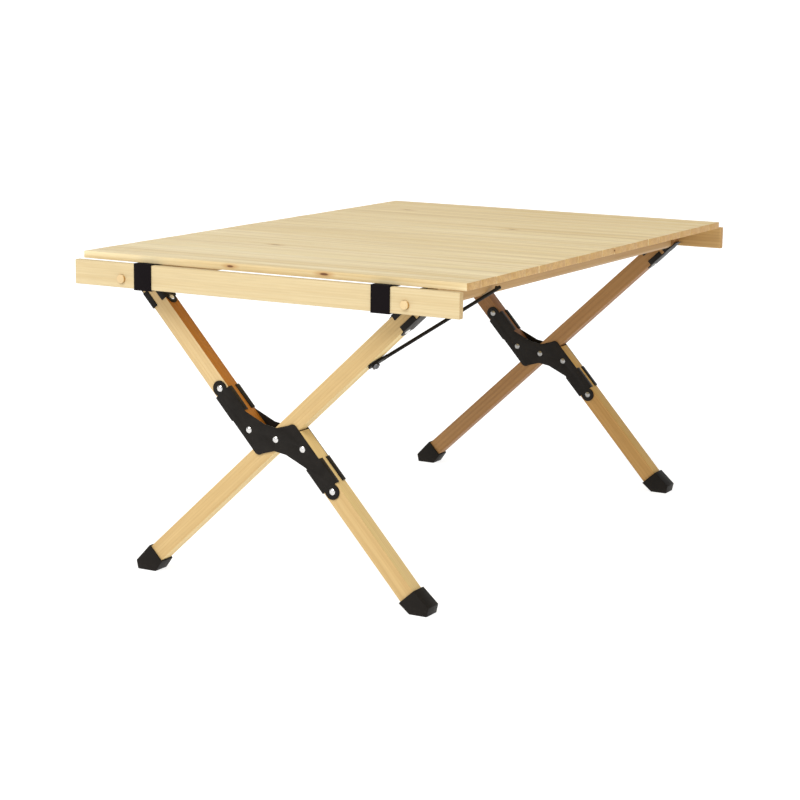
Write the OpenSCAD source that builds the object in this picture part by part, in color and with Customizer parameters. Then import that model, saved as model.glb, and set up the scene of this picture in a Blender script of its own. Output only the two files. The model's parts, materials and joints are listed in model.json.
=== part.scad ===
// Folding picnic table: a roll-up slatted top on two scissor leg frames.
// X is the long axis, Y runs along the slats, Z is up.
// The origin is on the floor under the middle of the table.

/* [Table top] */
// Height of the top face above the floor
table_height = 453.5; // [445:0.5:470]
// Number of slats
slat_count = 21; // [17:2:21]
// Length of a slat, across the table
slat_length = 600; // [560:5:640]
// Width of a slat, along the table
slat_width = 42; // [38:0.5:42]
// Thickness of a slat
slat_thickness = 10; // [8:0.5:12]
// Gap between neighbouring slats
slat_gap = 0.75; // [0.5:0.05:1]
// Chamfer along the edges of slats and bars
edge_chamfer = 0.8; // [0.4:0.1:1.5]

/* [End bars] */
// Thickness of an end bar, along the table
bar_thickness = 10; // [8:0.5:12]
// Height of an end bar
bar_height = 34; // [32:0.5:36]
// Gap between the last slat and the end bar
bar_gap = 9; // [6:0.5:10]
// Clearance of the bar hole around the dowel
bar_hole_clearance = 0.3; // [0.2:0.05:0.6]

/* [Straps] */
// Width of the webbing straps
strap_width = 28; // [20:1:30]
// Thickness of the webbing
strap_thickness = 1.5; // [1:0.1:2]
// Distance of each strap from the middle of the table
strap_offset = 186; // [160:1:190]
// Width of a staple crown
staple_width = 10; // [8:0.5:12]
// Thickness of the staple wire
staple_wire = 0.8; // [0.6:0.1:1]
// Depth that a staple reaches into its slat
staple_depth = 6; // [4:0.5:7]

/* [Rails] */
// Thickness of a long rail, across the table
rail_thickness = 18; // [16:0.5:20]
// Height of a long rail
rail_height = 33; // [28:0.5:33]
// Chamfer along the lower outer edge of a rail, where the brace rod passes
rail_chamfer = 4; // [3.5:0.5:5]
// Distance of each rail from the middle of the table
rail_offset = 221.7; // [215:0.1:230]
// Height of the dowels above the floor
dowel_height = 421.8; // [420:0.1:426]
// Diameter of the dowels
dowel_diameter = 12; // [10:0.5:13]
// Length of a dowel glued into its rail
dowel_grip = 40; // [30:1:60]
// Length of a dowel standing proud of the end bar
dowel_proud = 3; // [1:0.5:5]

/* [Legs] */
// Width of a leg, in the plane of its frame
leg_width = 25; // [23:0.5:26]
// Thickness of a leg, along the table
leg_thickness = 23.5; // [22:0.5:25]
// Distance of each leg frame from the middle of the leg frames
frame_half = 420.5; // [400:0.5:422]
// Offset of the leg frames along the table
frame_shift = 10; // [0:0.5:10]
// Height of the scissor pivot
pivot_height = 213.6; // [205:0.1:220]
// Sideways offset of each half of the split leg
half_offset = 26.1; // [25.8:0.1:30]
// Distance from the pivot to the inner end of a half leg
half_start = 14; // [14:0.5:18]
// Gap between a turning leg and the centre plates
leg_play = 0.2; // [0.1:0.05:0.4]

/* [Steel parts] */
// Thickness of the pressed steel plates
plate_thickness = 1.5; // [1:0.1:2]
// Width of the flanges folded over the wood
flange_width = 7; // [5:0.5:9]
// Diameter of the rivet heads
rivet_head = 9; // [8:0.5:10]
// Height of the rivet heads
rivet_rise = 2; // [1.5:0.1:3]
// Diameter of the rivet shanks
rivet_shank = 5; // [4:0.5:6]
// Radial running clearance of the pins that turn
running_clearance = 0.05; // [0.02:0.01:0.1]
// Radial clearance of the dowel in the far split leg
open_clearance = 0.3; // [0.2:0.05:0.5]

/* [Feet] */
// Wall of a foot cap around its leg
foot_wall = 2.5; // [2:0.1:3]
// Thickness of a foot cap under its leg
foot_sole = 8; // [7:0.5:9]
// Length of the straight leg's cap along its leg
straight_foot_length = 39; // [36:1:45]
// Distance of the straight leg's heel from the middle of the table
straight_heel = 200; // [196:1:202]
// Distance of the straight leg's toe from the middle of the table
straight_toe = 230; // [229:0.5:232]
// Length of the split leg's cap along its leg
split_foot_length = 31; // [30:1:38]
// Distance of the split leg's heel from the middle of the table
split_heel = 211; // [208:0.5:211]
// Distance of the split leg's toe from the middle of the table
split_toe = 237.5; // [236:0.5:239]

/* [Braces] */
// Diameter of the brace rod
rod_diameter = 5; // [4:0.5:6]
// Length of the brace rod from its screw
rod_length = 217; // [200:1:222]
// Angle between the rod and the table's long axis
rod_angle = 37; // [34:1:40]
// Distance of the brace screw from the dowel, down the leg
brace_screw_drop = 118; // [115:1:130]
// Distance of the rod from the middle of the leg
rod_standoff = 15.2; // [15.2:0.1:18]
// Length of the hook at the end of the rod
hook_length = 5; // [4:0.5:5.5]

/* [Hidden] */
slat_pitch = slat_width + slat_gap;
top_half = (slat_count * slat_pitch - slat_gap) / 2;
slat_bottom = table_height - slat_thickness;
strap_bottom = slat_bottom - strap_thickness;
bar_inner = top_half + bar_gap;
bar_outer = bar_inner + bar_thickness;
bar_bottom = slat_bottom - bar_height;
dowel_end = bar_outer + dowel_proud;
near_x = frame_shift - frame_half;
far_x = frame_shift + frame_half;
face_half = leg_thickness / 2;
rail_end_gap = 3.75;
rail_start = near_x + face_half + rail_end_gap;
rail_stop = far_x - face_half - rail_end_gap;
rail_top = slat_bottom - 0.5;

// The straight leg runs from the right dowel through the pivot.
// Each half of the split leg lies half_offset beside the pivot.
pivot_drop = dowel_height - pivot_height;
dowel_reach = sqrt(pow(rail_offset, 2) + pow(pivot_drop, 2));
half_reach = sqrt(pow(dowel_reach, 2) - pow(half_offset, 2));
straight_angle = atan2(pivot_drop, rail_offset);
split_angle = straight_angle + asin(half_offset / dowel_reach);
leg_long = 360;

lug_reach = 106.1;
lug_radius = 11;
mid_reach = 35.1;
flange_start = 60;
flange_end = 100;
half_inner = half_offset - leg_width / 2;
half_outer = half_offset + leg_width / 2;

bracket_top = 9;
bracket_stop = 48;
bracket_rivet_drop = 49.5;
bracket_lug = 9.5;
toe_flare = 2.8;
toe_height = 12.5;
tab_length = 26;
tab_tail = 10;
tab_width = 12;
tab_thickness = 3;
hook_diameter = rod_diameter - 0.4;
screw_diameter = 5;
washer_diameter = 13;
head_width = 11;
head_height = 4;
big = 1000;

SLATS = [for (i = [1 : slat_count]) str("slat_", i < 10 ? "0" : "", i)];
ENDS = ["near", "far"];

// ---- helpers ----

// A cylinder along X from x0 to x1
module bar_x(x0, x1, d) {
    translate([x0, 0, 0]) rotate([0, 90, 0]) cylinder(h = x1 - x0, d = d, $fn = 48);
}

// Runs its children's outline (drawn in Y and Z) from x0 to x1
module slab(x0, x1) {
    translate([x0, 0, 0]) rotate([90, 0, 90]) linear_extrude(height = x1 - x0) children();
}

// A board along Y with chamfered long edges, centred on X and Y
module board(width, length, height) {
    c = edge_chamfer;
    x = width / 2;
    translate([0, length / 2, 0]) rotate([90, 0, 0]) linear_extrude(height = length)
        polygon([
            [c - x, 0], [x - c, 0], [x, c], [x, height - c],
            [x - c, height], [c - x, height], [-x, height - c], [-x, c]
        ]);
}

// A domed rivet head at the origin, rising along Z
module rivet_dome() {
    ball = (pow(rivet_head / 2, 2) + pow(rivet_rise, 2)) / (2 * rivet_rise);
    intersection() {
        translate([0, 0, rivet_rise - ball]) sphere(r = ball, $fn = 64);
        cylinder(h = rivet_rise + 1, d = rivet_head + 1, $fn = 48);
    }
}

// A rivet through a stack of the given grip, centred, along Z
module rivet(grip) {
    cylinder(h = grip, d = rivet_shank, center = true, $fn = 48);
    for (up = [0, 180]) rotate([up, 0, 0]) translate([0, 0, grip / 2]) rivet_dome();
}

// Local frame of a leg frame's pivot: Y along the leg to its top, Z across it
module on_straight_leg() {
    translate([0, 0, pivot_height]) rotate([180 - straight_angle, 0, 0]) children();
}

module on_split_leg() {
    translate([0, 0, pivot_height]) rotate([split_angle, 0, 0]) children();
}

// Local frame of a leg's dowel: Y down the leg, Z to the leg's underside
module at_straight_top() {
    translate([0, -rail_offset, dowel_height]) rotate([-straight_angle, 0, 0])
        mirror([0, 0, 1]) children();
}

module at_split_top() {
    translate([0, rail_offset, dowel_height]) rotate([180 + split_angle, 0, 0]) children();
}

// ---- top ----

function slat_x(i) = (i - (slat_count - 1) / 2) * slat_pitch;

module staple_at(i, side) {
    reach = staple_width / 2;
    top = slat_bottom + staple_depth;
    translate([slat_x(i), side * strap_offset, strap_bottom]) {
        translate([-staple_wire / 2, -reach, -staple_wire])
            cube([staple_wire, staple_width, staple_wire]);
        for (y = [-reach, reach - staple_wire])
            translate([-staple_wire / 2, y, -staple_wire])
                cube([staple_wire, staple_wire, top - strap_bottom + staple_wire]);
    }
}

module slat(i) {
    color("burlywood") difference() {
        translate([slat_x(i), 0, slat_bottom]) board(slat_width, slat_length, slat_thickness);
        for (side = [-1, 1]) staple_at(i, side);
    }
}

module strap_staples() {
    color("silver") for (i = [0 : slat_count - 1]) for (side = [-1, 1]) staple_at(i, side);
}

module end_bar(side) {
    middle = side * (bar_inner + bar_outer) / 2;
    color("burlywood") difference() {
        translate([middle, 0, bar_bottom]) board(bar_thickness, slat_length, bar_height);
        for (y = [-rail_offset, rail_offset])
            translate([middle, y, dowel_height])
                bar_x(-bar_thickness, bar_thickness, dowel_diameter + 2 * bar_hole_clearance);
    }
}

// Half of the strap's outline in X and Z: under the slats, then over the end bar
strap_run = [
    [top_half, strap_bottom], [bar_inner - strap_thickness, slat_bottom],
    [bar_inner - strap_thickness, bar_bottom - strap_thickness],
    [bar_outer + strap_thickness, bar_bottom - strap_thickness],
    [bar_outer + strap_thickness, slat_bottom + strap_thickness],
    [bar_inner - strap_thickness, slat_bottom + strap_thickness],
    [top_half, slat_bottom]
];

// The strap loops all the way round both end bars
module strap_outline() {
    last = len(strap_run) - 1;
    difference() {
        polygon(concat(strap_run, [for (i = [last : -1 : 0]) [-strap_run[i].x, strap_run[i].y]]));
        for (side = [0, 1]) mirror([side, 0]) translate([bar_inner, bar_bottom])
            square([bar_thickness, bar_height]);
    }
}

module strap(side) {
    color("dimgray") difference() {
        translate([0, side * strap_offset + strap_width / 2, 0]) rotate([90, 0, 0])
            linear_extrude(height = strap_width) strap_outline();
        for (i = [0 : slat_count - 1]) staple_at(i, side);
    }
}

// ---- rails ----

module dowels(side) {
    color("tan") translate([0, side * rail_offset, dowel_height]) {
        bar_x(-dowel_end, rail_start + dowel_grip, dowel_diameter);
        bar_x(rail_stop - dowel_grip, dowel_end, dowel_diameter);
    }
}

module rail_outline(side) {
    inner = side * (rail_offset - rail_thickness / 2);
    outer = side * (rail_offset + rail_thickness / 2);
    bottom = rail_top - rail_height;
    polygon([
        [inner, bottom], [outer - side * rail_chamfer, bottom], [outer, bottom + rail_chamfer],
        [outer, rail_top], [inner, rail_top]
    ]);
}

module rail(side) {
    color("burlywood") difference() {
        slab(rail_start, rail_stop) rail_outline(side);
        dowels(side);
    }
}

// ---- leg frames ----

// The space that a leg may fill: above the sole and behind the toe
module inside_foot(toe) {
    reach = toe - foot_wall;
    translate([-reach, foot_sole]) square([2 * reach, big]);
}

// A leg's outline from the pivot frame: a strip with a round top at the dowel
module leg_strip(start, end, round_top) {
    translate([start, -leg_width / 2]) square([end - start, leg_width]);
    if (round_top) translate([end, 0]) circle(d = leg_width, $fn = 64);
}

module pivot_place(angle) {
    translate([0, pivot_height]) rotate(angle) children();
}

module straight_leg_outline() {
    intersection() {
        pivot_place(180 - straight_angle) leg_strip(-leg_long, dowel_reach, true);
        union() {
            inside_foot(straight_toe);
            translate([-big / 2, pivot_height]) square([big, big]);
        }
    }
}

module lower_half_outline() {
    intersection() {
        pivot_place(split_angle) translate([0, half_offset])
            leg_strip(-leg_long, -half_start, false);
        inside_foot(split_toe);
    }
}

module upper_half_outline() {
    pivot_place(split_angle) translate([0, -half_offset])
        leg_strip(half_start, half_reach, true);
}

// Holes shared by every leg top: dowel and bracket rivet
module top_holes(dowel_hole) {
    bar_x(-leg_thickness, leg_thickness, dowel_hole);
    translate([0, bracket_rivet_drop, 0]) bracket_rivet();
}

module straight_leg(x) {
    body_half = face_half - leg_play;
    color("burlywood") translate([x, 0, 0]) difference() {
        slab(-body_half, body_half) straight_leg_outline();
        at_straight_top() top_holes(dowel_diameter + 2 * running_clearance);
        translate([0, 0, pivot_height])
            bar_x(-leg_thickness, leg_thickness, rivet_shank + 2 * running_clearance);
        if (x < 0) at_straight_top() screw_shank();
    }
}

module upper_half_leg(x) {
    clearance = x < 0 ? running_clearance : open_clearance;
    color("burlywood") translate([x, 0, 0]) difference() {
        slab(-face_half, face_half) upper_half_outline();
        at_split_top() top_holes(dowel_diameter + 2 * clearance);
        plate_rivets_shape();
        if (x > 0) at_split_top() screw_shank();
    }
}

module lower_half_leg(x) {
    color("burlywood") translate([x, 0, 0]) difference() {
        slab(-face_half, face_half) lower_half_outline();
        plate_rivets_shape();
    }
}

// Half of the S-shaped centre plate, drawn along the split leg
module half_plate_outline() {
    polygon([
        [0, 0], [6 - 8, -half_outer + 8], [6, -half_outer],
        [flange_end, -half_outer], [flange_end, -half_inner], [flange_start - 2, -half_inner],
        [26, 0], [11, 12], [2, half_outer - 8], [-6, half_outer - 8]
    ]);
    translate([6, 8 - half_outer]) circle(r = 8, $fn = 48);
    translate([lug_reach, -half_offset]) circle(r = lug_radius, $fn = 48);
}

module half_plate_flanges() {
    span = flange_end - flange_start;
    for (w = [-half_outer - plate_thickness, -half_inner])
        translate([face_half - flange_width, flange_start, w])
            cube([flange_width + plate_thickness, span, plate_thickness]);
}

// A centre plate on the +X face; the one on the -X face is its mirror image
module centre_plate(x, side) {
    color([0.12, 0.12, 0.13]) translate([x, 0, 0]) mirror([side < 0 ? 1 : 0, 0, 0])
        difference() {
            on_split_leg() for (turn = [0, 180]) rotate([turn, 0, 0]) {
                slab(face_half, face_half + plate_thickness) half_plate_outline();
                half_plate_flanges();
            }
            plate_rivets_shape();
            pivot_rivet_shape();
        }
}

module rivet_x() {
    rotate([0, 90, 0]) rivet(leg_thickness + 2 * plate_thickness);
}

module pivot_rivet_shape() {
    translate([0, 0, pivot_height]) rivet_x();
}

module plate_rivets_shape() {
    on_split_leg() for (turn = [0, 180]) rotate([turn, 0, 0]) {
        translate([0, mid_reach, -half_offset]) rivet_x();
        translate([0, lug_reach, -half_offset]) rivet_x();
    }
}

module pivot_rivet(x) {
    color("silver") translate([x, 0, 0]) pivot_rivet_shape();
}

module plate_rivets(x) {
    color("silver") translate([x, 0, 0]) plate_rivets_shape();
}

// ---- leg-top brackets ----

module bracket_rivet() {
    rivet(leg_width + 2 * plate_thickness);
}

// One side plate, drawn in X and down the leg, with its round lug at the rivet
module side_plate_outline() {
    translate([-face_half, -bracket_top]) square([2 * face_half, bracket_top + bracket_stop]);
    translate([0, bracket_rivet_drop]) circle(r = bracket_lug, $fn = 48);
}

module side_plate() {
    low = leg_width / 2 - flange_width;
    translate([0, 0, leg_width / 2]) linear_extrude(height = plate_thickness)
        side_plate_outline();
    for (side = [0, 1]) mirror([side, 0, 0]) for (span = [[3, 16], [22, bracket_stop]])
        translate([face_half, span[0], low])
            cube([plate_thickness, span[1] - span[0], flange_width + plate_thickness]);
}

module bracket_plates() {
    color([0.12, 0.12, 0.13]) difference() {
        for (side = [0, 1]) mirror([0, 0, side]) side_plate();
        translate([0, bracket_rivet_drop, 0]) bracket_rivet();
    }
}

module straight_leg_bracket(x) {
    translate([x, 0, 0]) at_straight_top() bracket_plates();
}

module split_leg_bracket(x) {
    translate([x, 0, 0]) at_split_top() bracket_plates();
}

module straight_bracket_rivet(x) {
    color("silver") translate([x, 0, 0]) at_straight_top()
        translate([0, bracket_rivet_drop, 0]) bracket_rivet();
}

module split_bracket_rivet(x) {
    color("silver") translate([x, 0, 0]) at_split_top()
        translate([0, bracket_rivet_drop, 0]) bracket_rivet();
}

// ---- foot caps ----

// The cap's outline on the +Y side, for a leg whose axis meets the floor at y0
module foot_outline(y0, angle, length, heel, toe) {
    half = leg_width / 2 + foot_wall;
    away = [cos(angle), -sin(angle)];
    across = [sin(angle), cos(angle)];
    rim = [y0, 0] - away * length;
    polygon([
        [heel, 0], [toe, 0], [toe + toe_flare, toe_height],
        rim + across * half, rim - across * half
    ]);
}

// A cap's solid, running past both faces of its leg
module foot_slab() {
    reach = face_half + foot_wall;
    slab(-reach, reach) children();
}

module straight_leg_foot(x) {
    y0 = pivot_height / tan(straight_angle);
    color([0.08, 0.08, 0.08]) translate([x, 0, 0]) difference() {
        foot_slab()
            foot_outline(y0, straight_angle, straight_foot_length, straight_heel, straight_toe);
        slab(leg_play - face_half, face_half - leg_play) straight_leg_outline();
    }
}

module split_leg_foot(x) {
    y0 = pivot_height / tan(split_angle) + half_offset / sin(split_angle);
    color([0.08, 0.08, 0.08]) translate([x, 0, 0]) difference() {
        mirror([0, 1, 0]) foot_slab()
            foot_outline(y0, split_angle, split_foot_length, split_heel, split_toe);
        slab(-face_half, face_half) lower_half_outline();
    }
}

// ---- braces ----

// Drawn from the screw: X towards the other frame, Z out from the leg's underside.
// The rod starts in a flat round tab, and its hook turns towards the rail.
module rod_shape(lean) {
    bend = [cos(rod_angle), -sin(rod_angle), 0] * rod_length;
    tab_reach = tab_length - tab_width / 2;
    rod_start = tab_reach - 5;
    difference() {
        union() {
            rotate([0, 0, -rod_angle]) {
                translate([rod_start, 0, 0]) rotate([0, 90, 0])
                    cylinder(h = rod_length - rod_start + hook_diameter / 2, d = rod_diameter, $fn = 32);
                translate([tab_width / 2 - tab_tail, -tab_width / 2, -tab_thickness / 2])
                    cube([tab_reach + tab_tail - tab_width / 2, tab_width, tab_thickness]);
                translate([tab_width / 2 - tab_tail, 0, 0])
                    cylinder(h = tab_thickness, d = tab_width, center = true, $fn = 48);
            }
            translate(bend) rotate([lean, 0, 0])
                cylinder(h = hook_length, d = hook_diameter, $fn = 32);
        }
        cylinder(h = big, d = screw_diameter + 2 * running_clearance, center = true, $fn = 48);
    }
}

module at_brace_screw() {
    translate([0, brace_screw_drop, rod_standoff]) children();
}

module near_brace_rod() {
    color([0.12, 0.12, 0.13]) translate([near_x, 0, 0]) at_straight_top()
        at_brace_screw() rod_shape(270 - straight_angle);
}

module far_brace_rod() {
    color([0.12, 0.12, 0.13]) translate([far_x, 0, 0]) at_split_top()
        at_brace_screw() mirror([1, 0, 0]) rod_shape(270 - split_angle);
}

// The shank reaches from above the tab into the leg
module screw_shank() {
    depth = 15;
    out = 7;
    translate([0, brace_screw_drop, leg_width / 2 - depth])
        cylinder(h = depth + rod_standoff - leg_width / 2 + out, d = screw_diameter, $fn = 48);
}

module brace_screw_shape() {
    tab_low = rod_standoff - tab_thickness / 2 - 0.2;
    tab_high = rod_standoff + tab_thickness / 2 + 0.2;
    screw_shank();
    translate([0, brace_screw_drop, 0]) {
        translate([0, 0, leg_width / 2])
            cylinder(h = tab_low - leg_width / 2, d = washer_diameter, $fn = 48);
        translate([0, 0, tab_high]) cylinder(h = head_height, d = head_width, $fn = 6);
    }
}

module near_brace_screw() {
    color("gray") translate([near_x, 0, 0]) at_straight_top() brace_screw_shape();
}

module far_brace_screw() {
    color("gray") translate([far_x, 0, 0]) at_split_top() brace_screw_shape();
}

// ---- nodes ----

for (i = [0 : slat_count - 1]) {
    slat(i);
}
end_bar(-1);  // end_bar_near
end_bar(1);  // end_bar_far
strap(-1);  // strap_right
strap(1);  // strap_left
strap_staples();
rail(-1);  // rail_right
rail(1);  // rail_left
dowels(-1);  // rail_right_dowels
dowels(1);  // rail_left_dowels
straight_leg(near_x);  // near_straight_leg
straight_leg(far_x);  // far_straight_leg
upper_half_leg(near_x);  // near_upper_half_leg
upper_half_leg(far_x);  // far_upper_half_leg
lower_half_leg(near_x);  // near_lower_half_leg
lower_half_leg(far_x);  // far_lower_half_leg
centre_plate(near_x, -1);  // near_outer_centre_plate
centre_plate(far_x, 1);  // far_outer_centre_plate
centre_plate(near_x, 1);  // near_inner_centre_plate
centre_plate(far_x, -1);  // far_inner_centre_plate
pivot_rivet(near_x);  // near_pivot_rivet
pivot_rivet(far_x);  // far_pivot_rivet
plate_rivets(near_x);  // near_plate_rivets
plate_rivets(far_x);  // far_plate_rivets
straight_leg_bracket(near_x);  // near_straight_leg_bracket
straight_leg_bracket(far_x);  // far_straight_leg_bracket
split_leg_bracket(near_x);  // near_split_leg_bracket
split_leg_bracket(far_x);  // far_split_leg_bracket
straight_bracket_rivet(near_x);  // near_straight_bracket_rivet
straight_bracket_rivet(far_x);  // far_straight_bracket_rivet
split_bracket_rivet(near_x);  // near_split_bracket_rivet
split_bracket_rivet(far_x);  // far_split_bracket_rivet
straight_leg_foot(near_x);  // near_straight_leg_foot
straight_leg_foot(far_x);  // far_straight_leg_foot
split_leg_foot(near_x);  // near_split_leg_foot
split_leg_foot(far_x);  // far_split_leg_foot
near_brace_rod();
far_brace_rod();
near_brace_screw();
far_brace_screw();
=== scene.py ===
import json
import math
import random

import bpy
from mathutils import Matrix, Vector


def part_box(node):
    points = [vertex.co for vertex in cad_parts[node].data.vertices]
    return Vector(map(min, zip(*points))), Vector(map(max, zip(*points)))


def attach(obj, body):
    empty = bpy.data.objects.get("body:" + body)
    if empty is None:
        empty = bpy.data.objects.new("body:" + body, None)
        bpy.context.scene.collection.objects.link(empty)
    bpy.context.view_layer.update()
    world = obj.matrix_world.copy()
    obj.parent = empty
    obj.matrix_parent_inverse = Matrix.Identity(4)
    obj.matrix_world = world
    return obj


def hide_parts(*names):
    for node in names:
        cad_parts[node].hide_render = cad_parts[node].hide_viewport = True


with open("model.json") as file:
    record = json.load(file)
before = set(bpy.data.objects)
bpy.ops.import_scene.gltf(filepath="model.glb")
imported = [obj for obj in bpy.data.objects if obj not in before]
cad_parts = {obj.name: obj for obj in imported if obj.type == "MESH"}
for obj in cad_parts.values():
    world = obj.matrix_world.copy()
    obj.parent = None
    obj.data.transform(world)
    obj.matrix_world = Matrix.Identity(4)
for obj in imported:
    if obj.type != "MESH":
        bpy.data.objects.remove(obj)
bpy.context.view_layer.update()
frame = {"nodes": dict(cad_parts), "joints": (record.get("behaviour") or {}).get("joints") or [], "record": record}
nodes = frame["nodes"]
joints = {j["name"]: j for j in frame["joints"]}
bodyOfNode = {
    n: body for body, members in frame["record"]["behaviour"]["bodies"].items() for n in members
}
print("frame loaded,", len(nodes), "nodes")

# camera: looks at a point under the top, from in front of the near end
cameraLook = {
    "target": (0.0141, 0.0478, 0.1933),
    "azimuth": 61.24,
    "elevation": 10.8,
    "roll": 0.78,
    "distance": 3.319,
    "lens": 96.57,
    "sensor": 36,
}


def placeCamera(look):
    az, el, roll = (math.radians(look[k]) for k in ("azimuth", "elevation", "roll"))
    ahead = Vector((math.sin(az) * math.cos(el), math.cos(az) * math.cos(el), -math.sin(el)))
    side = Vector((math.cos(az), -math.sin(az), 0))
    up = side.cross(ahead)
    right = side * math.cos(roll) + up * math.sin(roll)
    top = up * math.cos(roll) - side * math.sin(roll)
    turn = Matrix((right, top, -ahead)).transposed().to_4x4()
    bpy.ops.object.camera_add()
    camera = bpy.context.object
    camera.name = "camera"
    camera.data.lens = look["lens"]
    camera.data.sensor_width = look["sensor"]
    camera.data.clip_end = 1000
    place = Vector(look["target"]) - ahead * look["distance"]
    camera.matrix_world = Matrix.Translation(place) @ turn
    bpy.context.scene.camera = camera


placeCamera(cameraLook)

# studio: white sweep that glows a little, soft key from the near end, dim sky
studioLook = {
    "floorSize": 90,
    "wallRadius": 40,
    "wallHeight": 12,
    "paper": (0.35, 0.35, 0.35),
    "glow": 0.86,
    "sky": (1.0, 0.98, 0.95),
    "skyStrength": 0.4,
    "keyStrength": 2.2,
    "keyAngle": 40,
    "keyFrom": (-0.8, 0.1, 1.0),
}


def addSun(name, strength, angle, source):
    bpy.ops.object.light_add(type="SUN")
    sun = bpy.context.object
    sun.name = name
    sun.data.energy = strength
    sun.data.angle = math.radians(angle)
    sun.rotation_euler = Vector(source).to_track_quat("Z", "Y").to_euler()


def buildStudio(look):
    bpy.ops.mesh.primitive_plane_add(size=look["floorSize"])
    floor = bpy.context.object
    floor.name = "studioFloor"
    bpy.ops.mesh.primitive_cylinder_add(
        radius=look["wallRadius"], depth=look["wallHeight"], vertices=96, end_fill_type="NOTHING",
        location=(0, 0, look["wallHeight"] / 2 - 0.01),
    )
    wall = bpy.context.object
    wall.name = "studioWall"
    paper = bpy.data.materials.new("studioPaper")
    paper.use_nodes = True
    shader = paper.node_tree.nodes["Principled BSDF"]
    shader.inputs["Base Color"].default_value = (*look["paper"], 1)
    shader.inputs["Roughness"].default_value = 0.9
    shader.inputs["Emission Color"].default_value = (1, 1, 1, 1)
    shader.inputs["Emission Strength"].default_value = look["glow"]
    for piece in (floor, wall):
        piece.data.materials.append(paper)
    world = bpy.data.worlds.new("studioSky")
    bpy.context.scene.world = world
    world.use_nodes = True
    sky = world.node_tree.nodes["Background"]
    sky.inputs["Color"].default_value = (*look["sky"], 1)
    sky.inputs["Strength"].default_value = look["skyStrength"]
    addSun("keyLight", look["keyStrength"], look["keyAngle"], look["keyFrom"])
    bpy.context.scene.view_settings.view_transform = "Standard"


buildStudio(studioLook)
print("camera and studio in place")


# material helpers
class Graph:
    def __init__(self, name):
        self.material = bpy.data.materials.new(name)
        self.material.use_nodes = True
        self.tree = self.material.node_tree
        self.shader = self.tree.nodes["Principled BSDF"]

    def node(self, kind, values=None, links=None, **settings):
        made = self.tree.nodes.new(kind)
        for key, value in settings.items():
            setattr(made, key, value)
        for key, value in (values or {}).items():
            made.inputs[key].default_value = value
        for key, source in (links or {}).items():
            self.tree.links.new(source, made.inputs[key])
        return made

    def math(self, operation, a, b=None, c=None, clamp=False):
        made = self.node("ShaderNodeMath", operation=operation, use_clamp=clamp)
        for i, value in enumerate((a, b, c)):
            if value is None:
                continue
            if isinstance(value, (int, float)):
                made.inputs[i].default_value = value
            else:
                self.tree.links.new(value, made.inputs[i])
        return made.outputs[0]

    def vector(self, operation, a, b):
        made = self.node("ShaderNodeVectorMath", operation=operation)
        for i, value in enumerate((a, b)):
            if isinstance(value, (tuple, Vector)):
                made.inputs[i].default_value = value
            else:
                self.tree.links.new(value, made.inputs[i])
        return made.outputs["Value" if operation in ("LENGTH", "DISTANCE") else "Vector"]

    def noise(self, where, scale, detail=3, roughness=0.5, distortion=0):
        values = {
            "Scale": scale, "Detail": detail, "Roughness": roughness, "Distortion": distortion
        }
        return self.node("ShaderNodeTexNoise", values, {"Vector": where}).outputs["Fac"]

    def spread(self, value, low, high, newLow=0.0, newHigh=1.0):
        values = {1: low, 2: high, 3: newLow, 4: newHigh}
        return self.node("ShaderNodeMapRange", values, {0: value}).outputs[0]

    def mixColour(self, amount, a, b, blend="MIX"):
        made = self.node("ShaderNodeMix", data_type="RGBA", blend_type=blend)
        for i, value in ((0, amount), (6, a), (7, b)):
            if isinstance(value, (int, float)):
                made.inputs[i].default_value = value
            elif isinstance(value, tuple):
                made.inputs[i].default_value = (*value, 1)
            else:
                self.tree.links.new(value, made.inputs[i])
        return made.outputs[2]

    def bump(self, height, distance, strength=1.0, below=None):
        links = {"Height": height}
        if below is not None:
            links["Normal"] = below
        values = {"Distance": distance, "Strength": strength}
        return self.node("ShaderNodeBump", values, links).outputs["Normal"]

    def shade(self, colour=None, roughness=None, normal=None, **constants):
        for key, source in (("Base Color", colour), ("Roughness", roughness), ("Normal", normal)):
            if source is not None and not isinstance(source, (int, float, tuple)):
                self.tree.links.new(source, self.shader.inputs[key])
            elif isinstance(source, tuple):
                self.shader.inputs[key].default_value = (*source, 1)
            elif source is not None:
                self.shader.inputs[key].default_value = source
        for key, value in constants.items():
            self.shader.inputs[key.replace("_", " ")].default_value = value
        return self.material


# pine: growth rings round a pith beside the board, drawn out along the board
slatWood = {
    "early": (0.85, 0.72, 0.42),
    "late": (0.62, 0.45, 0.20),
    "heart": (0.78, 0.61, 0.33),
    "pale": (0.92, 0.81, 0.54),
    "side": (0.79, 0.60, 0.36),
    "sideAxis": "Y",
    "sideRange": (0.5, 0.8),
    "bandShow": 0.62,
    # the far boards deepen, partly in their own tone, partly as painted shade
    "deepeningAndShade": 0.5,
    "endSpeck": 0.75,
    "ringGap": 0.0042,
    "ringShow": 0.55,
    "fibreBump": 0.00006,
    "knotCore": (0.17, 0.075, 0.03),
    "knotHalo": (0.52, 0.29, 0.11),
    "knotStretch": 0.28,
    "seedStep": (0.317, 0.171, 2.3),
}
plainWood = dict(slatWood, bandShow=0.16, deepeningAndShade=0, endSpeck=0)
barWood = dict(
    plainWood, early=(0.63, 0.50, 0.275), pale=(0.69, 0.57, 0.34), late=(0.52, 0.37, 0.17),
    heart=(0.59, 0.44, 0.23), side=(0.95, 0.85, 0.7),
)
# darker copy of the bar wood for the far bar: painted shade
farBarShadedWood = dict(
    barWood, early=(0.52, 0.33, 0.13), pale=(0.58, 0.39, 0.17), late=(0.40, 0.23, 0.08),
    heart=(0.47, 0.28, 0.10),
)
railWood = dict(
    plainWood, early=(0.41, 0.25, 0.095), pale=(0.46, 0.29, 0.12), late=(0.31, 0.17, 0.06),
    heart=(0.36, 0.21, 0.07), side=(1.0, 1.0, 1.0),
)
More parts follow.
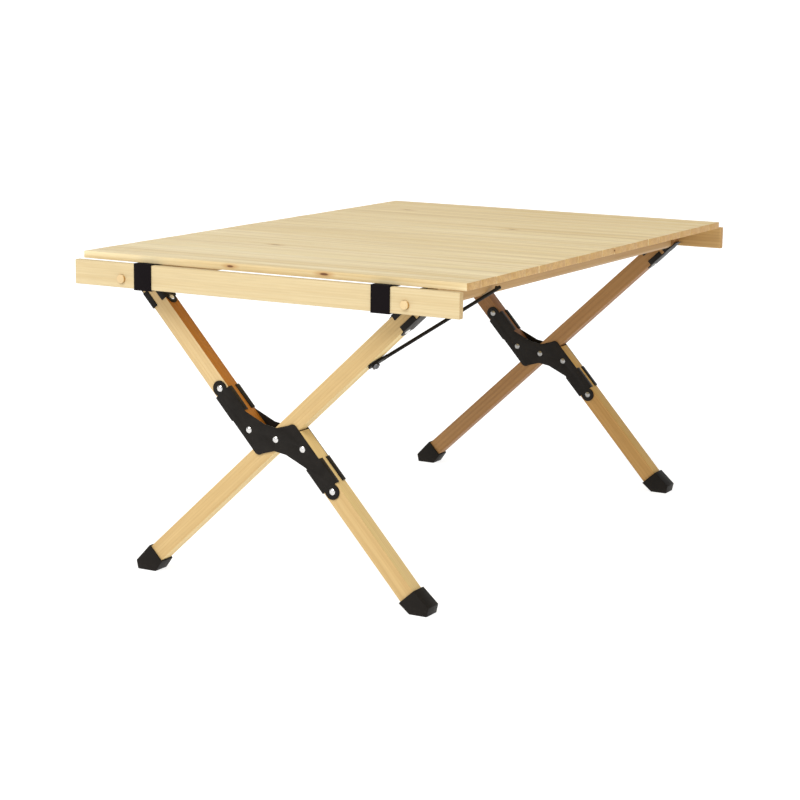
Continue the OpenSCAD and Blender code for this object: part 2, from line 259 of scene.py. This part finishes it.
# on the legs, side is painted light: the flanks are lightened and cooled
legWood = dict(
    plainWood, early=(0.565, 0.38, 0.155), pale=(0.62, 0.45, 0.21), late=(0.43, 0.26, 0.09),
    heart=(0.52, 0.34, 0.13), side=(1.2, 1.3, 1.35), sideAxis="X", sideRange=(0.8, 0.4),
)
# lit and shaded copy of the leg wood for the near upper half: paler faces, and side paints deep orange shade on
# its flanks under the table top
upperShadedWood = dict(
    legWood, early=(0.63, 0.45, 0.21), pale=(0.68, 0.51, 0.27), heart=(0.58, 0.40, 0.17),
    side=(0.61, 0.30, 0.05),
)
# darker copies of the leg wood for the far legs are painted shade; the far upper half is darkest, painted shadow
# of the table top; the far lower half is lighter, with its flanks lightened as painted light
farShadedWood = dict(
    legWood, early=(0.32, 0.165, 0.05), pale=(0.38, 0.21, 0.075), late=(0.2, 0.09, 0.025),
    heart=(0.27, 0.13, 0.037), side=(1.0, 0.9, 0.8),
)
farUpperShadedWood = dict(
    farShadedWood, early=(0.21, 0.095, 0.027), pale=(0.25, 0.12, 0.035), late=(0.13, 0.055, 0.015),
    heart=(0.18, 0.075, 0.02),
)
farLowerPaintedLightWood = dict(
    farShadedWood, early=(0.47, 0.265, 0.075), pale=(0.54, 0.32, 0.10), late=(0.33, 0.17, 0.04),
    heart=(0.42, 0.22, 0.06), side=(1.35, 1.5, 1.5),
)
dowelWood = dict(plainWood, early=(0.66, 0.47, 0.25), pale=(0.72, 0.54, 0.31), ringGap=0.0016)


# how the grain is laid out: stretch along the board, then where and how fine each pattern is
grain = {
    "ringDraw": (1, 1, 0.07),
    "toneDraw": (1, 1, 0.12),
    "hairDraw": (1, 1, 0.025),
    "pithRepeat": (0.31, 0.27, 1),
    "pithPlace": (0.02, 0.05, 0),
    "wander": 0.03,
    "ripple": 0.003,
    "toneScale": 3.1,
    "fibreScale": 900,
    "streakScale": 170,
    "bandScale": 75,
    "poreScale": 210,
    "deepeningAndShadeSpan": (-0.35, 0.45),
}


# wandering pith and wavy rings; gives late wood and how much of it shows
def growthRings(g, board, look):
    drawn = g.vector("MULTIPLY", board, grain["ringDraw"])
    wander = g.noise(drawn, 7, 2)
    ripple = g.noise(drawn, 40, 3, 0.6)
    across = g.vector("MULTIPLY", board, (1, 1, 0))
    wrapped = g.vector("MODULO", across, grain["pithRepeat"])
    centred = g.vector("SUBTRACT", wrapped, grain["pithPlace"])
    radius = g.vector("LENGTH", centred, (0, 0, 0))
    radius = g.math("ADD", radius, g.math("MULTIPLY", wander, grain["wander"]))
    radius = g.math("ADD", radius, g.math("MULTIPLY", ripple, grain["ripple"]))
    ring = g.math("FRACT", g.math("DIVIDE", radius, look["ringGap"]))
    late = g.node("ShaderNodeValToRGB", links={"Fac": ring})
    late.color_ramp.interpolation = "EASE"
    stops = late.color_ramp.elements
    stops[0].position, stops[0].color = 0.0, (0.12, 0.12, 0.12, 1)
    stops[1].position, stops[1].color = 1.0, (0.05, 0.05, 0.05, 1)
    for at, level in ((0.45, 0.0), (0.8, 0.75), (0.93, 1.0)):
        stops.new(at).color = (level, level, level, 1)
    # rings show more in some stretches than in others
    patch = g.spread(g.noise(drawn, 14, 2), 0.35, 0.7, 0.25, 1.0)
    shown = g.math("MULTIPLY", patch, look["ringShow"])
    return late.outputs["Color"], g.math("MULTIPLY", late.outputs["Color"], shown)


# knots: a dark core in a brown halo, drawn out across the table
def addKnots(g, colour, place, streak, look, knots):
    stretch = look["knotStretch"]
    for spot, size in knots:
        bent = g.vector("MULTIPLY", place, (1, stretch, 1))
        away = g.vector("DISTANCE", bent, (spot[0], spot[1] * stretch, spot[2]))
        away = g.math("ADD", away, g.math("MULTIPLY", streak, size * 0.5))
        halo = g.spread(away, size * 0.9, size * 2.2, 0.75, 0.0)
        core = g.spread(away, size * 0.7, size * 1.0, 1.0, 0.0)
        colour = g.mixColour(halo, colour, look["knotHalo"])
        colour = g.mixColour(core, colour, look["knotCore"])
    return colour


# faces picked by their normal take the look's side tint: on slat and bar ends it is the deeper colour of end
# grain, with pores on slat ends; on the legs it is painted light and painted shade on the flanks
def tintEndGrainAndPaintSideLight(g, colour, place, look):
    endGrainAndSideLight = g.mixColour(1.0, colour, look["side"], "MULTIPLY")
    if look["endSpeck"]:
        pores = g.noise(place, grain["poreScale"], 3, 0.7)
        endGrainAndSideLight = g.mixColour(g.spread(pores, 0.47, 0.6, 0.0, look["endSpeck"]), endGrainAndSideLight, look["knotHalo"])
    turned = g.node("ShaderNodeTexCoord").outputs["Normal"]
    facing = g.node("ShaderNodeSeparateXYZ", links={"Vector": turned}).outputs[look["sideAxis"]]
    endGrainAndSideLightMask = g.spread(g.math("ABSOLUTE", facing), *look["sideRange"])
    return g.mixColour(endGrainAndSideLightMask, colour, endGrainAndSideLight)


def makePine(name, turn, look, knots=()):
    g = Graph(name)
    place = g.node("ShaderNodeTexCoord").outputs["Object"]
    seed = g.node("ShaderNodeAttribute", attribute_name="boardSeed").outputs["Fac"]
    board = g.node(
        "ShaderNodeMapping", {"Rotation": tuple(math.radians(a) for a in turn)},
        {"Vector": place},
    ).outputs["Vector"]
    shift = g.node("ShaderNodeVectorMath", operation="SCALE")
    shift.inputs[0].default_value = look["seedStep"]
    g.tree.links.new(seed, shift.inputs["Scale"])
    board = g.vector("ADD", board, shift.outputs[0])
    late, ringAmount = growthRings(g, board, look)
    # fine fibres, streaks and broad bands along the board
    hair = g.vector("MULTIPLY", board, grain["hairDraw"])
    fibre = g.noise(hair, grain["fibreScale"], 2, 0.65)
    streak = g.noise(hair, grain["streakScale"], 3, 0.6)
    bands = g.noise(hair, grain["bandScale"], 2, 0.55)
    tone = g.noise(g.vector("MULTIPLY", board, grain["toneDraw"]), grain["toneScale"], 2)
    colour = g.mixColour(g.spread(tone, 0.3, 0.7), look["pale"], look["early"])
    boardTone = g.math("FRACT", g.math("MULTIPLY", seed, 7.31))
    colour = g.mixColour(g.math("MULTIPLY", boardTone, 0.45), colour, look["heart"])
    colour = g.mixColour(ringAmount, colour, look["late"])
    colour = g.mixColour(g.spread(streak, 0.45, 0.75, 0.0, 0.35), colour, look["late"])
    colour = g.mixColour(g.spread(bands, 0.46, 0.64, 0.0, look["bandShow"]), colour, look["late"])
    # boards deepen towards the far end: partly their own tone, partly painted shade where the light falls off away
    # from the near end
    if look["deepeningAndShade"]:
        along = g.node("ShaderNodeSeparateXYZ", links={"Vector": place}).outputs["X"]
        deepenedAndShaded = g.spread(along, *grain["deepeningAndShadeSpan"], 0.0, look["deepeningAndShade"])
        colour = g.mixColour(deepenedAndShaded, colour, look["late"])
    fibreTone = g.spread(fibre, 0.25, 0.75, 0.93, 1.05)
    grey = g.node("ShaderNodeCombineColor", links={0: fibreTone, 1: fibreTone, 2: fibreTone})
    colour = g.mixColour(1.0, colour, grey.outputs[0], "MULTIPLY")
    colour = addKnots(g, colour, place, streak, look, knots)
    # end grain colour on the ends; painted light and painted shade on the leg flanks
    colour = tintEndGrainAndPaintSideLight(g, colour, place, look)
    height = g.math("ADD", fibre, g.math("MULTIPLY", late, 0.5))
    normal = g.bump(height, look["fibreBump"], 0.6)
    roughness = g.spread(streak, 0.3, 0.7, 0.48, 0.62)
    return g.shade(colour, roughness, normal, Specular_IOR_Level=0.35)


# angles of the two legs, from the pivots that the frame states; the split leg's halves lie
# halfOffset beside the centre pivot
halfOffset = 0.0261
foldHinge = Vector(joints["near_frame_fold"]["pos_m"])
scissor = Vector(joints["near_scissor_pivot"]["pos_m"])
leftHinge = Vector(joints["left_rail_hinge"]["pos_m"])
straightAngle = math.degrees(math.atan2(foldHinge.z - scissor.z, -foldHinge.y))
splitReach = math.hypot(leftHinge.y, leftHinge.z - scissor.z)
splitAngle = straightAngle + math.degrees(math.asin(halfOffset / splitReach))

# knots: place and size; two on the first slat's front edge, three on top, one on a slat end
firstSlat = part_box("slat_01")
frontEdge = firstSlat[0].x
slatTop = firstSlat[1].z
slatEnd = firstSlat[0].y
slatKnots = [
    ((frontEdge, -0.0902, 0.4495), 0.0028),
    ((frontEdge, 0.0566, 0.4492), 0.0024),
    ((-0.236, 0.118, slatTop), 0.0032),
    ((0.152, -0.071, slatTop), 0.0026),
    ((0.318, 0.205, slatTop), 0.0030),
    ((0.021, slatEnd, 0.449), 0.0022),
]
slatPine = makePine("slatPine", (90, 0, 0), slatWood, slatKnots)
barPine = {
    "end_bar_near": makePine("nearBarPine", (90, 0, 0), barWood),
    "end_bar_far": makePine("farBarShadedPine", (90, 0, 0), farBarShadedWood),
}
railPine = makePine("railPine", (0, -90, 0), railWood)
dowelBeech = makePine("dowelBeech", (0, -90, 0), dowelWood)
straightTurn = (straightAngle - 90, 0, 0)
splitTurn = (90 - splitAngle, 0, 0)
legPine = {
    "near_straight_leg": makePine("nearStraightPine", straightTurn, legWood),
    "near_upper_half_leg": makePine("nearUpperShadedPine", splitTurn, upperShadedWood),
    "near_lower_half_leg": makePine("nearLowerPine", splitTurn, legWood),
    "far_straight_leg": makePine("farStraightShadedPine", straightTurn, farShadedWood),
    "far_upper_half_leg": makePine("farUpperShadedPine", splitTurn, farUpperShadedWood),
    "far_lower_half_leg": makePine("farLowerPaintedLightPine", splitTurn, farLowerPaintedLightWood),
}
print("wood mixed")

# black powder coat on the pressed steel
coatLook = {"black": (0.008, 0.0062, 0.0045), "dusty": (0.014, 0.0115, 0.009), "bump": 0.00003}


def makePowderCoat(look):
    g = Graph("blackPowderCoat")
    place = g.node("ShaderNodeTexCoord").outputs["Object"]
    peel = g.noise(place, 1400, 2, 0.5)
    cloud = g.noise(place, 60, 4, 0.6)
    worn = g.spread(g.noise(place, 260, 3, 0.7), 0.6, 0.78, 0.0, 0.5)
    colour = g.mixColour(g.spread(cloud, 0.35, 0.75), look["black"], look["dusty"])
    colour = g.mixColour(worn, colour, look["dusty"])
    roughness = g.spread(cloud, 0.3, 0.7, 0.36, 0.5)
    return g.shade(colour, roughness, g.bump(peel, look["bump"], 0.6), Specular_IOR_Level=0.13)


# bright zinc on rivets and staples, a greyer copy on the far rivets as painted shade, dull on the brace screws
def makeZinc(name, light, dark, smooth, rough):
    g = Graph(name)
    place = g.node("ShaderNodeTexCoord").outputs["Object"]
    blotch = g.noise(place, 350, 3, 0.6)
    scratch = g.noise(g.vector("MULTIPLY", place, (1, 1, 6)), 500, 2, 0.7)
    colour = g.mixColour(g.spread(blotch, 0.3, 0.7), light, dark)
    roughness = g.spread(scratch, 0.3, 0.75, smooth, rough)
    return g.shade(colour, roughness, g.bump(scratch, 0.00002, 0.4), Metallic=1.0)


# moulded plastic of the foot caps, fine spark texture, grey scuffs
plasticLook = {"black": (0.007, 0.0052, 0.0035), "scuffed": (0.018, 0.015, 0.012)}


def makeFootPlastic(look):
    g = Graph("footPlastic")
    place = g.node("ShaderNodeTexCoord").outputs["Object"]
    spark = g.noise(place, 1100, 2, 0.6)
    cloud = g.noise(place, 45, 3, 0.6)
    height = g.node("ShaderNodeSeparateXYZ", links={"Vector": place}).outputs["Z"]
    low = g.spread(height, 0.0, 0.012, 1.0, 0.0)
    scuff = g.math("MULTIPLY", low, g.spread(g.noise(place, 210, 3, 0.7), 0.5, 0.72))
    colour = g.mixColour(g.math("MULTIPLY", cloud, 0.35), look["black"], look["scuffed"])
    colour = g.mixColour(scuff, colour, look["scuffed"])
    roughness = g.spread(cloud, 0.3, 0.7, 0.46, 0.62)
    return g.shade(colour, roughness, g.bump(spark, 0.00005, 0.6), Specular_IOR_Level=0.13)


# webbing: ribs along the strap, picks across it; the strap runs in X, and in Z at the bars
webbingLook = {
    "rib": 0.0014, "pick": 0.0017, "depth": 0.00022,
    "thread": (0.004, 0.003, 0.0035), "crown": (0.012, 0.009, 0.010),
}


def makeWebbing(look):
    g = Graph("blackWebbing")
    place = g.node("ShaderNodeTexCoord").outputs["Object"]
    part = g.node("ShaderNodeSeparateXYZ", links={"Vector": place}).outputs
    u, v = g.math("ADD", part["X"], part["Z"]), part["Y"]
    rib = g.math("DIVIDE", v, look["rib"])
    odd = g.math("MULTIPLY", g.math("MODULO", g.math("FLOOR", rib), 2), 0.5)
    pick = g.math("ADD", g.math("DIVIDE", u, look["pick"]), odd)
    ribHeight = g.math("SINE", g.math("MULTIPLY", g.math("FRACT", rib), math.pi))
    pickHeight = g.math("SINE", g.math("MULTIPLY", g.math("FRACT", pick), math.pi))
    weave = g.math("MULTIPLY", ribHeight, g.math("ADD", g.math("MULTIPLY", pickHeight, 0.6), 0.4))
    colour = g.mixColour(weave, look["thread"], look["crown"])
    fuzz = g.noise(place, 2200, 2, 0.7)
    normal = g.bump(weave, look["depth"], 0.9, g.bump(fuzz, 0.00004, 0.5))
    roughness = g.spread(fuzz, 0.3, 0.7, 0.72, 0.9)
    return g.shade(
        colour, roughness, normal, Sheen_Weight=0.01, Sheen_Roughness=0.4, Specular_IOR_Level=0.05
    )


blackCoat = makePowderCoat(coatLook)
brightZinc = makeZinc("brightZinc", (0.82, 0.81, 0.79), (0.6, 0.59, 0.58), 0.16, 0.34)
# the far rivets' zinc is darkened as painted shade
farShadedZinc = makeZinc("farShadedZinc", (0.42, 0.41, 0.40), (0.28, 0.28, 0.27), 0.26, 0.44)
dullZinc = makeZinc("dullZinc", (0.19, 0.19, 0.20), (0.12, 0.12, 0.125), 0.34, 0.52)
footPlastic = makeFootPlastic(plasticLook)
blackWebbing = makeWebbing(webbingLook)
print("steel, plastic and webbing mixed")


# modelling helpers
def pick(*objects):
    bpy.ops.object.select_all(action="DESELECT")
    for obj in objects:
        obj.select_set(True)
    bpy.context.view_layer.objects.active = objects[0]


def editing(obj):
    pick(obj)
    bpy.ops.object.mode_set(mode="EDIT")


def doneEditing():
    bpy.ops.object.mode_set(mode="OBJECT")


def settle(obj):
    pick(obj)
    bpy.ops.object.transform_apply(location=True, rotation=True, scale=True)


def bake(obj):
    pick(obj)
    for modifier in list(obj.modifiers):
        bpy.ops.object.modifier_apply(modifier=modifier.name)


def roundEdges(obj, width, segments=3, limit=40):
    rounding = obj.modifiers.new("roundEdges", "BEVEL")
    rounding.width = width
    rounding.segments = segments
    rounding.limit_method = "ANGLE"
    rounding.angle_limit = math.radians(limit)
    rounding.harden_normals = False
    bake(obj)
    pick(obj)
    bpy.ops.object.shade_smooth_by_angle(angle=math.radians(limit))


def stampSeed(obj, seed):
    layer = obj.data.attributes.new("boardSeed", "FLOAT", "POINT")
    layer.data.foreach_set("value", [seed] * len(obj.data.vertices))


def dress(obj, material):
    obj.data.materials.clear()
    obj.data.materials.append(material)


def standFor(piece, node):
    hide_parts(node)
    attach(piece, bodyOfNode[node])


# a copy of a frame piece with its flat faces joined and its edges eased
def easedCopy(node, width, material, seed=None, segments=3, limit=40):
    mesh = nodes[node].data.copy()
    piece = bpy.data.objects.new("eased_" + node, mesh)
    bpy.context.scene.collection.objects.link(piece)
    editing(piece)
    bpy.ops.mesh.select_all(action="SELECT")
    bpy.ops.mesh.remove_doubles(threshold=0.000002)
    bpy.ops.mesh.dissolve_limited(angle_limit=math.radians(0.6))
    bpy.ops.mesh.normals_make_consistent(inside=False)
    doneEditing()
    roundEdges(piece, width, segments, limit)
    dress(piece, material)
    if seed is not None:
        stampSeed(piece, seed)
    standFor(piece, node)


boards = random.Random(21)


def newSeed():
    return round(boards.uniform(0.5, 40), 3)


# slats: one planed board, copied along the table, ends not quite in line
slatLook = {"edge": 0.0006, "segments": 3, "endJitter": 0.0006}


def buildSlats(look):
    low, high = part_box("slat_01")
    bpy.ops.object.select_all(action="DESELECT")
    bpy.ops.mesh.primitive_cube_add(size=1, location=(low + high) / 2, scale=high - low)
    pattern = bpy.context.object
    settle(pattern)
    roundEdges(pattern, look["edge"], look["segments"])
    names = sorted(n for n in nodes if n.startswith("slat_"))
    for name in names:
        board = bpy.data.objects.new("board_" + name[-2:], pattern.data.copy())
        bpy.context.scene.collection.objects.link(board)
        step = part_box(name)[0].x - low.x
        slip = boards.uniform(-1, 1) * look["endJitter"]
        board.data.transform(Matrix.Translation((step, slip, 0)))
        dress(board, slatPine)
        stampSeed(board, newSeed())
        standFor(board, name)
    bpy.data.objects.remove(pattern)


buildSlats(slatLook)
print("slats laid")

# how far each kind of edge is rounded
edgeEase = {
    "bar": 0.0012, "rail": 0.0014, "leg": 0.0015, "dowel": 0.0008,
    "steel": 0.0004, "foot": 0.0016, "rod": 0.0005, "screw": 0.0004, "strap": 0.0003,
}
for bar, pine in barPine.items():
    easedCopy(bar, edgeEase["bar"], pine, newSeed())
for rail in ("rail_right", "rail_left"):
    easedCopy(rail, edgeEase["rail"], railPine, newSeed())
    easedCopy(rail + "_dowels", edgeEase["dowel"], dowelBeech, newSeed())
for leg, pine in legPine.items():
    easedCopy(leg, edgeEase["leg"], pine, newSeed())
print("bars, rails and legs eased")

for end in ("near", "far"):
    for part in ("outer_centre_plate", "inner_centre_plate", "straight_leg_bracket", "split_leg_bracket"):
        easedCopy(end + "_" + part, edgeEase["steel"], blackCoat, segments=2)
    for part in ("straight_leg_foot", "split_leg_foot"):
        easedCopy(end + "_" + part, edgeEase["foot"], footPlastic)
print("plates, brackets and feet eased")

for end in ("near", "far"):
    easedCopy(end + "_brace_rod", edgeEase["rod"], blackCoat, segments=2)
    easedCopy(end + "_brace_screw", edgeEase["screw"], dullZinc, segments=2)
for name, node in nodes.items():
    if "rivet" in name or name == "strap_staples":
        dress(node, farShadedZinc if name.startswith("far_") else brightZinc)
for strap in ("strap_right", "strap_left"):
    easedCopy(strap, edgeEase["strap"], blackWebbing, segments=2)
print("braces and straps done")
